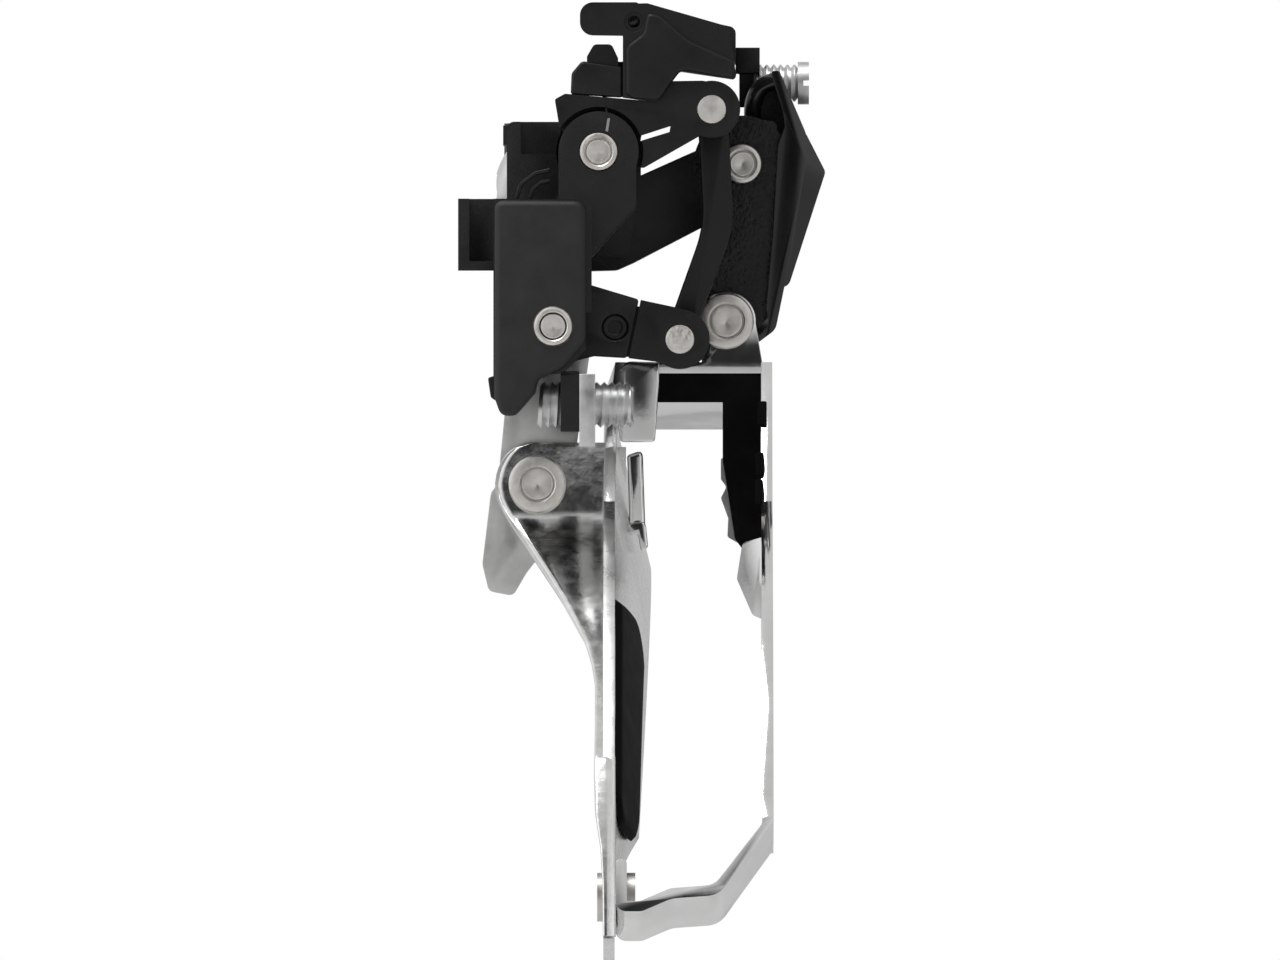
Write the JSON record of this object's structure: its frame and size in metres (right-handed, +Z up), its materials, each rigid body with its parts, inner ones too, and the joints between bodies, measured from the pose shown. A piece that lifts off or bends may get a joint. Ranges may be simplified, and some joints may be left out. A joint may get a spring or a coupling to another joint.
{
  "type": "front derailleur",
  "caption": "Front derailleur with a parallelogram linkage, cable lever and connecting rod that swing a chromed chain cage sideways over the chainrings",
  "frame": {"origin": "where the axis of the mounting bolt meets the mounting face on the inboard side", "axes": "+X outboard towards the drive side, +Y forward along the link pins, +Z up"},
  "size_m": [0.0394, 0.0801, 0.1023],
  "materials": {
    "cast_black": "black satin finish over a cast aluminium, fine grain",
    "lever_black": "black satin finish, soft edges",
    "cover_black": "black gloss",
    "pad_black": "black moulded plastic, a little glossy",
    "insert_grey": "grey translucent plastic",
    "cage_chrome": "bright plated steel, pressed and slightly rippled",
    "link_silver": "satin silver casting",
    "pin_steel": "turned steel, fine rings",
    "screw_steel": "bright zinc-plated steel",
    "bolt_silver": "pale plated steel",
    "bush_bronze": "sintered bush",
    "spring_black": "black oxide wire"
  },
  "bodies": {
    "bracket": {"bracket": "cast_black", "mount_bolt": "bolt_silver", "mount_washer": "bolt_silver", "lever_pin": "pin_steel", "inner_link_upper_pin": "pin_steel", "outer_link_upper_pin": "pin_steel", "thread_tab": "cast_black", "nut_plate": "screw_steel"},
    "support_screw": {"support_screw": "screw_steel"},
    "cable_lever": {"cable_lever": "lever_black", "lever_bush": "bush_bronze", "clamp_cap": "lever_black", "clamp_block": "lever_black", "clamp_bolt": "lever_black", "screw_carrier": "lever_black", "rod_upper_pin": "pin_steel"},
    "adjusting_screw": {"adjusting_screw": "screw_steel"},
    "connecting_rod": {"connecting_rod": "lever_black"},
    "inner_link": {"inner_link": "link_silver", "inner_link_upper_bush": "bush_bronze", "inner_link_lower_bush": "bush_bronze", "drive_arm_root": "lever_black", "drive_arm_tip": "lever_black", "arm_rivet": "lever_black", "rod_lower_pin": "pin_steel"},
    "outer_link": {"outer_link": "lever_black", "outer_link_upper_rear_bush": "bush_bronze", "outer_link_upper_front_bush": "bush_bronze", "outer_link_lower_bush": "bush_bronze", "link_cover": "cover_black", "return_spring": "spring_black"},
    "cage": {"inner_plate": "cage_chrome", "outer_plate": "cage_chrome", "tail_rivet": "pin_steel", "inner_skid_pad": "pad_black", "outer_liner": "pad_black", "liner_insert": "insert_grey", "inner_cage_pin": "pin_steel", "outer_cage_pin": "pin_steel"}
  },
  "joints": [
    {"name": "inner_link_swing", "type": "hinge", "parent": "bracket", "child": "inner_link", "pos_m": [0.00498, 0, -0.0144], "axis": [0, -1, 0], "range_deg": [0, 32], "stiffness_Nm_per_rad": 0.25, "springref_deg": -34.38},
    {"name": "outer_link_swing", "type": "hinge", "parent": "bracket", "child": "outer_link", "pos_m": [0.02527, 0, 0.0031], "axis": [0, -1, 0], "range_deg": [0, 32]},
    {"name": "cage_swing", "type": "hinge", "parent": "inner_link", "child": "cage", "pos_m": [0.00328, 0, -0.0313], "axis": [0, -1, 0], "range_deg": [-32, 0]},
    {"name": "lever_swing", "type": "hinge", "parent": "bracket", "child": "cable_lever", "pos_m": [0.00986, 0, 0.00434], "axis": [0, -1, 0], "range_deg": [0, 44.5]},
    {"name": "rod_swing", "type": "hinge", "parent": "inner_link", "child": "connecting_rod", "pos_m": [0.01857, 0, -0.01577], "axis": [0, -1, 0], "range_deg": [-20, 0]},
    {"name": "support_screw_travel", "type": "slide", "parent": "bracket", "child": "support_screw", "axis": [1, 0, 0], "range_m": [0, 0.002]},
    {"name": "adjusting_screw_travel", "type": "slide", "parent": "cable_lever", "child": "adjusting_screw", "axis": [1, 0, 0], "range_m": [0, 0.002]}
  ],
  "couplings": [
    {"joint": "outer_link_swing", "follows": "inner_link_swing", "ratio": 1},
    {"joint": "cage_swing", "follows": "inner_link_swing", "ratio": -1},
    {"joint": "lever_swing", "follows": "inner_link_swing", "ratio": 1.39},
    {"joint": "rod_swing", "follows": "inner_link_swing", "ratio": -0.62}
  ]
}
